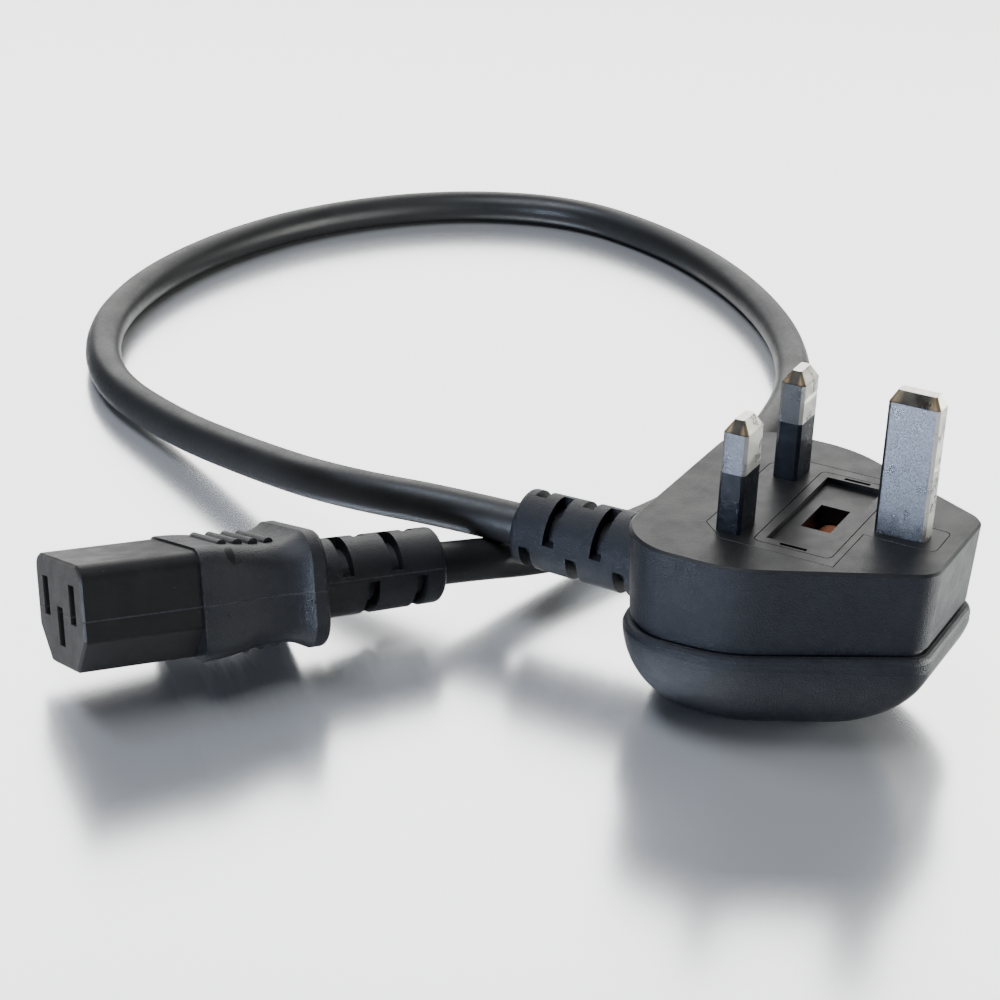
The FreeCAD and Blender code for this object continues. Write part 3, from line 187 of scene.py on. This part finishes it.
# %% Map, calculate and mix
def map_range(tree, value, low, high, to_low=0.0, to_high=1.0):
    node = tree.nodes.new("ShaderNodeMapRange")
    node.inputs["From Min"].default_value = low
    node.inputs["From Max"].default_value = high
    node.inputs["To Min"].default_value = to_low
    node.inputs["To Max"].default_value = to_high
    tree.links.new(value, node.inputs["Value"])
    return node.outputs["Result"]


def math_node(tree, operation, first, second):
    node = tree.nodes.new("ShaderNodeMath")
    node.operation = operation
    for socket, value in zip(node.inputs, (first, second)):
        if isinstance(value, bpy.types.NodeSocket):
            tree.links.new(value, socket)
        else:
            socket.default_value = value
    return node.outputs[0]


def mix_colour(tree, factor, first, second):
    node = tree.nodes.new("ShaderNodeMix")
    node.data_type = "RGBA"
    tree.links.new(factor, node.inputs["Factor"])
    for socket, colour in ((node.inputs["A"], first), (node.inputs["B"], second)):
        if isinstance(colour, bpy.types.NodeSocket):
            tree.links.new(colour, socket)
        else:
            socket.default_value = (*colour, 1)
    return node.outputs["Result"]


def position(tree):
    """The place on the object in metres, which is the same as in the shared frame"""
    return new_node(tree, "ShaderNodeTexCoord").outputs["Object"]


def height_mask(tree, low, high):
    """0 below low and 1 above high, by the height over the floor in metres"""
    height = new_node(tree, "ShaderNodeSeparateXYZ", Vector=position(tree)).outputs["Z"]
    return map_range(tree, height, low, high)


print("node steps ready")

# %% [markdown]
# ## Grain and handling marks
#
# Moulds for such leads are spark eroded: the steel is pitted all over, and the plastic copies the
# pits as a fine grain that breaks the highlights up. One node group makes such a grain at any
# size, so every plastic and the blasted metal share it. A second group adds hair scratches and
# specks of dust, which any lead picks up in use.

# %% Grain of a spark-eroded or blasted surface
def build_grain():
    """Pits about one cell wide, with a slower wave under them; heights in metres, sizes per metre"""
    group, source, sink = new_group(
        "eroded_grain",
        {"Cells": 2500.0, "Depth": 0.00002, "Amount": 1.0},
        {"Normal": "NodeSocketVector", "Pits": "NodeSocketFloat", "Cloud": "NodeSocketFloat"},
    )
    place = position(group)
    pits = new_node(group, "ShaderNodeTexNoise", Vector=place, Scale=source.outputs["Cells"],
                    Detail=2.0, Roughness=0.6)
    slow_scale = math_node(group, "MULTIPLY", source.outputs["Cells"], 0.07)
    slow = new_node(group, "ShaderNodeTexNoise", Vector=place, Scale=slow_scale, Detail=3.0)
    sharp = map_range(group, pits.outputs["Fac"], 0.32, 0.68)
    bump = new_node(group, "ShaderNodeBump", Height=sharp, Distance=source.outputs["Depth"],
                    Strength=source.outputs["Amount"])
    group.links.new(bump.outputs["Normal"], sink.inputs["Normal"])
    group.links.new(sharp, sink.inputs["Pits"])
    group.links.new(slow.outputs["Fac"], sink.inputs["Cloud"])
    return group


grain_group = build_grain()
print(f"group {grain_group.name} has {len(grain_group.nodes)} nodes")

# %% Fine scratches and dust
def build_wear():
    """Hair scratches in two directions and a few specks of dust"""
    group, source, sink = new_group(
        "handling_marks",
        {"Dust": 1.0},
        {"Scratches": "NodeSocketFloat", "Specks": "NodeSocketFloat"},
    )
    place = position(group)
    marks = []
    for angle, stretch in ((0.5, (3500, 60, 900)), (-0.9, (60, 2800, 900))):
        turned = new_node(group, "ShaderNodeMapping", Vector=place, Rotation=(0.2, 0.1, angle),
                          Scale=stretch)
        noise = new_node(group, "ShaderNodeTexNoise", Vector=turned.outputs["Vector"], Scale=1.0,
                         Detail=1.0)
        marks.append(map_range(group, noise.outputs["Fac"], 0.66, 0.74))
    scratches = math_node(group, "MAXIMUM", marks[0], marks[1])
    dots = new_node(group, "ShaderNodeTexVoronoi", Vector=place, Scale=420.0)
    specks = map_range(group, dots.outputs["Distance"], 0.06, 0.03)
    dust = math_node(group, "MULTIPLY", specks, source.outputs["Dust"])
    group.links.new(scratches, sink.inputs["Scratches"])
    group.links.new(dust, sink.inputs["Specks"])
    return group


wear_group = build_wear()
print(f"group {wear_group.name} has {len(wear_group.nodes)} nodes")

# %% [markdown]
# ## Black plastics
#
# Black is never one black. The grained soft moulding scatters light into a blue-grey bloom, the
# pin face is rubbed smoother and warmer, the hard carrier is satin and the pin sleeves are glossy.
# All of them share one recipe: two near-black tones in slow clouds, a roughness that follows the
# pits, and a few scratches that shine a little more. The tones and the shine lie below those of
# real plastic, which holds the photograph's contrast under this studio's broad light.

# %% One dark plastic
def new_material(name):
    """An empty node material with a Principled shader; gives the material, its tree and shader"""
    material = bpy.data.materials.new(name)
    material.use_nodes = True
    tree = material.node_tree
    shader = tree.nodes["Principled BSDF"]
    return material, tree, shader


def plastic(name, dark, light, rough, cells, depth, coat=0.0, dust=0.5, shine=0.3):
    """A dark plastic with scratches and a little dust; shine is its specular level"""
    material, tree, shader = new_material(name)
    grain = use_group(tree, grain_group, Cells=cells, Depth=depth)
    wear = use_group(tree, wear_group, Dust=dust)
    tint = mix_colour(tree, grain.outputs["Cloud"], dark, light)
    dusty = mix_colour(tree, math_node(tree, "MULTIPLY", wear.outputs["Specks"], 0.12), tint,
                       (0.3, 0.3, 0.3))
    tree.links.new(dusty, shader.inputs["Base Color"])
    rough_cloud = map_range(tree, grain.outputs["Cloud"], 0.3, 0.7, rough - 0.05, rough + 0.05)
    pitted = math_node(tree, "MULTIPLY", grain.outputs["Pits"], 0.08)
    roughness = math_node(tree, "ADD", rough_cloud, pitted)
    scratched = math_node(tree, "MULTIPLY", wear.outputs["Scratches"], -0.06)
    tree.links.new(math_node(tree, "ADD", roughness, scratched), shader.inputs["Roughness"])
    tree.links.new(grain.outputs["Normal"], shader.inputs["Normal"])
    shader.inputs["IOR"].default_value = 1.5
    shader.inputs["Specular IOR Level"].default_value = shine
    shader.inputs["Coat Weight"].default_value = coat
    shader.inputs["Coat Roughness"].default_value = 0.2
    return material, tree, shader, grain


carrier_black = plastic("carrier_satin", (0.0030, 0.0030, 0.0032), (0.0055, 0.0055, 0.0058), 0.36, 5200.0,
                        0.000006, shine=0.18)[0]
sleeve_black = plastic("sleeve_gloss", (0.0010, 0.0014, 0.0028), (0.0018, 0.0024, 0.0045), 0.18, 900.0,
                       0.00001, coat=0.1, dust=0.2, shine=0.25)[0]
sheath_black = plastic("cord_sheath_satin", (0.0040, 0.0040, 0.0040), (0.0065, 0.0064, 0.0062), 0.42,
                       1500.0, 0.000008, shine=0.28)[0]
print("carrier, sleeves and cord sheath have their plastics")

# %% [markdown]
# ## The plug's moulding
#
# The walls and the dome carry the mould's full grain, while the pin face is smoother. Both are one
# piece of plastic, so one material fades from the one finish to the other just under the edge of
# the face, by the height over the floor. A second material would need a cut along that edge.

# %% Walls, dome and pin face
FACE_HEIGHT = 0.0305


def plug_moulding():
    """Full grain on the walls and the dome, a smoother warm grey on the pin face"""
    material, tree, shader, grain = plastic("plug_moulding", (0.0020, 0.0024, 0.0035),
                                            (0.0040, 0.0048, 0.0075), 0.37, 4400.0, 0.00006, shine=0.17)
    face = height_mask(tree, FACE_HEIGHT - 0.0006, FACE_HEIGHT - 0.0002)
    colour = shader.inputs["Base Color"].links[0].from_socket
    warm = mix_colour(tree, face, colour, (0.0045, 0.0045, 0.0047))
    tree.links.new(warm, shader.inputs["Base Color"])
    amount = map_range(tree, face, 0, 1, 1.0, 0.25)
    tree.links.new(amount, grain.inputs["Amount"])
    return material


plug_black = plug_moulding()
print(f"plug is grained below {FACE_HEIGHT * 1000:.1f} mm")

# %% [markdown]
# ## The connector
#
# The connector is moulded in two halves, so a fine ridge runs round it at half its height. Its
# front face gets painted light, a greyer and warmer tone that stands in for light this studio doesn't
# throw on it. Both follow the connector's own directions, which are turned against the room, so a
# dot product measures along them.

# %% Where the connector lies
CONNECTOR_FACE = Vector((-0.0963, -0.0609, 0.01341))
CONNECTOR_TURN = (Matrix.Rotation(math.radians(54.0), 3, "Z") @ Matrix.Rotation(math.radians(3.0), 3, "Y")
                  @ Matrix.Rotation(math.radians(-19.4), 3, "X"))


def connector_measure(tree, direction):
    """How far a place lies from the middle of the front face, along one of the connector's directions"""
    axis = CONNECTOR_TURN @ Vector(direction)
    along = new_node(tree, "ShaderNodeVectorMath", {"operation": "DOT_PRODUCT"})
    tree.links.new(position(tree), along.inputs[0])
    along.inputs[1].default_value = axis
    return math_node(tree, "SUBTRACT", along.outputs["Value"], CONNECTOR_FACE.dot(axis))


print(f"connector's face is {CONNECTOR_FACE.z * 1000:.1f} mm above the floor")

# %% Parting line and front face
def parting_line(plastic_parts):
    """A fine ridge where the mould's halves met, round the connector at half its height"""
    material, tree, shader, grain = plastic_parts
    height = connector_measure(tree, (0, 0, 1))
    ridge = map_range(tree, math_node(tree, "ABSOLUTE", height, 0), 0.00014, 0.00005)
    bump = new_node(tree, "ShaderNodeBump", Height=ridge, Distance=0.00008, Normal=grain.outputs["Normal"])
    tree.links.new(bump.outputs["Normal"], shader.inputs["Normal"])
    colour = shader.inputs["Base Color"].links[0].from_socket
    worn = math_node(tree, "MULTIPLY", ridge, grain.outputs["Pits"])
    tree.links.new(mix_colour(tree, worn, colour, (0.03, 0.03, 0.034)), shader.inputs["Base Color"])
    return material


def paint_front_light(material):
    """Painted light on the connector's front face: a greyer and warmer tone, the same in every view"""
    tree = material.node_tree
    shader = tree.nodes["Principled BSDF"]
    behind = connector_measure(tree, (1, 0, 0))
    front = map_range(tree, behind, 0.0004, 0.0001)
    colour = shader.inputs["Base Color"].links[0].from_socket
    # Painted light: the front face's greyer, warmer tone
    tree.links.new(mix_colour(tree, front, colour, (0.020, 0.0165, 0.0140)), shader.inputs["Base Color"])
    return material


grip_black = parting_line(plastic("connector_grip", (0.0030, 0.0032, 0.0038), (0.0060, 0.0062, 0.0074),
                                  0.34, 4400.0, 0.00005, shine=0.22))
insert_plastic = plastic("insert_satin", (0.0030, 0.0028, 0.0027), (0.0055, 0.0051, 0.0048), 0.42, 4600.0,
                         0.00002, shine=0.14)
insert_black = paint_front_light(parting_line(insert_plastic))
print("connector has its grip and its insert")

# %% [markdown]
# ## Metals
#
# The pins are nickel-plated brass, all three plated alike. They are blasted, so the reflections
# break into grains, except for the +x side and the milled tip, which are smooth. Metal mostly shows
# what stands round it, and this studio is plainer than a real room. So the blasted sides get a
# painted reflection tone of their own on each pin, far darker than real nickel, and the +x side and
# the tip's facets get painted reflection tones too, to stand in for what they would mirror. The
# hidden clips and contacts are bare brass.

# %% One metal
def metal(name, dark, light, rough, cells, depth):
    """A metal with two tones in its pits and a roughness that drifts slowly over it"""
    material, tree, shader = new_material(name)
    grain = use_group(tree, grain_group, Cells=cells, Depth=depth)
    wear = use_group(tree, wear_group)
    tint = mix_colour(tree, grain.outputs["Pits"], dark, light)
    tree.links.new(tint, shader.inputs["Base Color"])
    shader.inputs["Metallic"].default_value = 1.0
    base = map_range(tree, grain.outputs["Cloud"], 0.3, 0.7, rough - 0.06, rough + 0.08)
    marks = math_node(tree, "MULTIPLY", wear.outputs["Scratches"], 0.15)
    tree.links.new(math_node(tree, "ADD", base, marks), shader.inputs["Roughness"])
    tree.links.new(grain.outputs["Normal"], shader.inputs["Normal"])
    return material, tree, shader, grain


cap_nickel = metal("fuse_cap_nickel", (0.60, 0.58, 0.54), (0.80, 0.78, 0.74), 0.2, 1500.0, 0.000005)[0]
clip_brass = metal("clip_brass", (0.60, 0.42, 0.18), (0.80, 0.60, 0.30), 0.25, 1800.0, 0.000008)[0]
wire_copper = metal("wire_copper", (0.65, 0.28, 0.14), (0.85, 0.45, 0.26), 0.25, 1800.0, 0.00001)[0]
print("nickel caps, brass clips and copper wires made")

# %% Plated pins
# Painted reflections: the +x side's pale tone and the tip facets' pale, gold and dim tones stand in for
# what the metal would mirror
SIDE_PAINTED_REFLECTION = (0.36, 0.35, 0.33)
PALE_FACET_PAINTED_REFLECTION = (0.55, 0.53, 0.48)
GOLD_FACET_PAINTED_REFLECTION = (0.55, 0.38, 0.20)
DIM_FACET_PAINTED_REFLECTION = (0.12, 0.105, 0.085)
GOLD_RIM_PAINTED_REFLECTION = (0.52, 0.38, 0.22)


def pin_metal(name, dark, light, tip_start, middle, reach):
    """Blasted, but smooth on its +x side and its tip. A painted reflection makes the +x side paler; dark
    and light are the blasted sides' painted reflection tones. The tip's facets get painted reflection
    tones by where they face, and the -y one turns from dim to gold towards reach on either side of the
    pin's middle"""
    material, tree, shader, grain = metal(name, dark, light, 0.30, 6400.0, 0.000012)
    tip = height_mask(tree, tip_start, tip_start + 0.0003)
    normal = new_node(tree, "ShaderNodeNewGeometry").outputs["True Normal"]
    facing = new_node(tree, "ShaderNodeSeparateXYZ", Vector=normal).outputs
    right_side = map_range(tree, facing["X"], 0.55, 0.8)
    colour = shader.inputs["Base Color"].links[0].from_socket
    # Painted reflection: a paler tone on the +x side
    sides = mix_colour(tree, right_side, colour, SIDE_PAINTED_REFLECTION)
    # Painted reflections on the tip's facets: pale or gold by where they face, and the -y facet dim in the
    # middle, gold towards its edges
    front_facet = map_range(tree, facing["Y"], -0.35, -0.6)
    left_facet = map_range(tree, facing["X"], -0.35, -0.6)
    facets = mix_colour(tree, left_facet, PALE_FACET_PAINTED_REFLECTION, GOLD_FACET_PAINTED_REFLECTION)
    across = new_node(tree, "ShaderNodeSeparateXYZ", Vector=position(tree)).outputs["X"]
    aside = math_node(tree, "SUBTRACT", across, middle)
    rim = map_range(tree, math_node(tree, "ABSOLUTE", aside, 0), 0.3 * reach, 0.55 * reach)
    front_tone = mix_colour(tree, rim, DIM_FACET_PAINTED_REFLECTION, GOLD_RIM_PAINTED_REFLECTION)
    facets = mix_colour(tree, front_facet, facets, front_tone)
    tree.links.new(mix_colour(tree, tip, sides, facets), shader.inputs["Base Color"])
    smooth = math_node(tree, "MAXIMUM", tip, right_side)
    tree.links.new(map_range(tree, smooth, 0, 1, 1.0, 0.15), grain.inputs["Amount"])
    return material


LIVE_TIP = {"tip_start": FACE_HEIGHT + 0.0158, "middle": -0.0093, "reach": 0.0020}
EARTH_TIP = {"tip_start": FACE_HEIGHT + 0.0209, "middle": 0.0129, "reach": 0.0060}
# Painted reflection: each pin's blasted sides get a tone of their own, far darker than real nickel, the
# line pin's the darkest
neutral_nickel_painted_reflection = pin_metal("neutral_pin_nickel_painted_reflection", (0.025, 0.026, 0.028), (0.085, 0.085, 0.088), **LIVE_TIP)
line_nickel_painted_reflection = pin_metal("line_pin_nickel_painted_reflection", (0.010, 0.0095, 0.009), (0.032, 0.031, 0.029), **LIVE_TIP)
earth_nickel_painted_reflection = pin_metal("earth_pin_nickel_painted_reflection", (0.030, 0.031, 0.034), (0.110, 0.110, 0.114), **EARTH_TIP)
print("pins plated")

# %% [markdown]
# ## Fuse and cores
#
# The fuse shows through the drawer's window as a reddish-brown printed tube. The three cores are
# the standard brown, blue and striped green and yellow, hidden inside the mouldings.

# %% Fuse and core materials
fuse_brown = plastic("fuse_ceramic", (0.10, 0.035, 0.018), (0.20, 0.075, 0.035), 0.3, 1200.0, 0.000006,
                     coat=0.3)[0]
core_brown = plastic("core_brown", (0.10, 0.035, 0.015), (0.15, 0.06, 0.03), 0.35, 1500.0, 0.00001)[0]
core_blue = plastic("core_blue", (0.015, 0.09, 0.34), (0.03, 0.14, 0.45), 0.35, 1500.0, 0.00001)[0]


def striped_core():
    """Green with a yellow stripe that winds along the core"""
    material, tree, shader, _ = plastic("core_green_yellow", (0.05, 0.26, 0.04), (0.07, 0.32, 0.05),
                                        0.35, 1500.0, 0.00001)
    wave = new_node(tree, "ShaderNodeTexWave", {"bands_direction": "DIAGONAL"}, Vector=position(tree),
                    Scale=60.0)
    stripe = map_range(tree, wave.outputs["Fac"], 0.6, 0.64)
    colour = shader.inputs["Base Color"].links[0].from_socket
    tree.links.new(mix_colour(tree, stripe, colour, (0.75, 0.6, 0.02)), shader.inputs["Base Color"])
    return material


core_striped = striped_core()
print("fuse and cores coloured")

# %% [markdown]
# ## Each piece gets its surface
#
# The pieces keep their own meshes and slots; only the material in each slot is set. One table says
# which finish goes where, so a change of finish is a change of one line.

# %% Give every piece its surface
SURFACES = {
    "outer_moulding": plug_black,
    "pin_carrier": carrier_black,
    "fuse_carrier": carrier_black,
    "earth_pin": earth_nickel_painted_reflection,
    "line_pin": line_nickel_painted_reflection,
    "neutral_pin": neutral_nickel_painted_reflection,
    "line_sleeve": sleeve_black,
    "neutral_sleeve": sleeve_black,
    "fuse_barrel": fuse_brown,
    "fuse_cap_front": cap_nickel,
    "fuse_cap_back": cap_nickel,
    "fuse_wire": wire_copper,
    "line_clip": clip_brass,
    "supply_clip": clip_brass,
    "brown_core": core_brown,
    "blue_core": core_blue,
    "earth_core": core_striped,
    "brown_wire": wire_copper,
    "blue_wire": wire_copper,
    "earth_wire": wire_copper,
    "connector_insert": insert_black,
    "connector_moulding": grip_black,
    "connector_line_contact": clip_brass,
    "connector_neutral_contact": clip_brass,
    "connector_earth_contact": clip_brass,
    "connector_brown_core": core_brown,
    "connector_blue_core": core_blue,
    "connector_earth_core": core_striped,
}
for name, surface in SURFACES.items():
    for material_slot in nodes[name].material_slots:
        material_slot.material = surface
cord_data.materials.append(sheath_black)
print(f"{len(SURFACES)} pieces and the cord have their surfaces")

# %% [markdown]
# ## Floor and light
#
# The floor is pale and softly polished, so it carries blurred reflections. It looks bright because it
# shows the large card at the back, while the walls of the mouldings show its darker front part. A soft
# box overhead and small low cards draw the bloom on the near walls and the dome.

# %% Floor
def pale_floor():
    material, _, shader = new_material("pale_floor")
    shader.inputs["Base Color"].default_value = (0.90, 0.905, 0.91, 1)
    shader.inputs["Roughness"].default_value = 0.22
    shader.inputs["Metallic"].default_value = 0.85
    return material


floor_data = bpy.data.meshes.new("floor")
FLOOR_REACH = 4.0
corners = [(x * FLOOR_REACH, y * FLOOR_REACH, 0) for x, y in ((-1, -1), (1, -1), (1, 1), (-1, 1))]
floor_data.from_pydata(corners, [], [(0, 1, 2, 3)])
floor = bpy.data.objects.new("floor", floor_data)
floor_data.materials.append(pale_floor())
bpy.context.collection.objects.link(floor)
print(f"floor reaches {FLOOR_REACH:.0f} m each way")

# %% Lights
def soft_box(name, place, target, width, height, watts, colour):
    """A soft light of the given size in metres that faces its target"""
    light = bpy.data.lights.new(name, "AREA")
    light.shape = "RECTANGLE"
    light.size = width
    light.size_y = height
    light.energy = watts
    light.color = colour
    holder = bpy.data.objects.new(name, light)
    aim = Vector(target) - Vector(place)
    holder.location = place
    holder.rotation_euler = aim.to_track_quat("-Z", "Y").to_euler()
    bpy.context.collection.objects.link(holder)


soft_box("overhead", (-0.14, -0.22, 0.9), (-0.05, 0.0, 0.0), 0.5, 0.4, 11.0, (0.88, 0.93, 1.0))
soft_box("back_card", (-0.60, 1.10, 0.60), (-0.05, 0.05, 0.0), 1.7, 1.0, 22.0, (1.0, 0.995, 0.98))
soft_box("low_front", (-0.15, -0.50, 0.04), (-0.02, -0.02, 0.02), 0.16, 0.06, 4.5, (0.66, 0.78, 1.0))
soft_box("left_high", (-0.42, -0.04, 0.75), (0.0, -0.01, 0.02), 0.20, 0.20, 4.0, (0.70, 0.80, 1.0))
soft_box("right_low", (0.32, 0.02, 0.07), (-0.08, -0.04, 0.01), 0.16, 0.10, 0.7, (0.92, 0.96, 1.0))
soft_box("right_card", (0.28, 0.20, 0.05), (0.01, 0.0, 0.02), 0.22, 0.10, 3.0, (0.98, 1.0, 0.95))
world = bpy.data.worlds.new("studio")
world.use_nodes = True
world.node_tree.nodes["Background"].inputs["Color"].default_value = (0.97, 0.98, 1.0, 1)
world.node_tree.nodes["Background"].inputs["Strength"].default_value = 0.12
bpy.context.scene.world = world
print(f"stage set with {len(bpy.data.lights)} lights")

# %% Update the scene
bpy.context.view_layer.update()
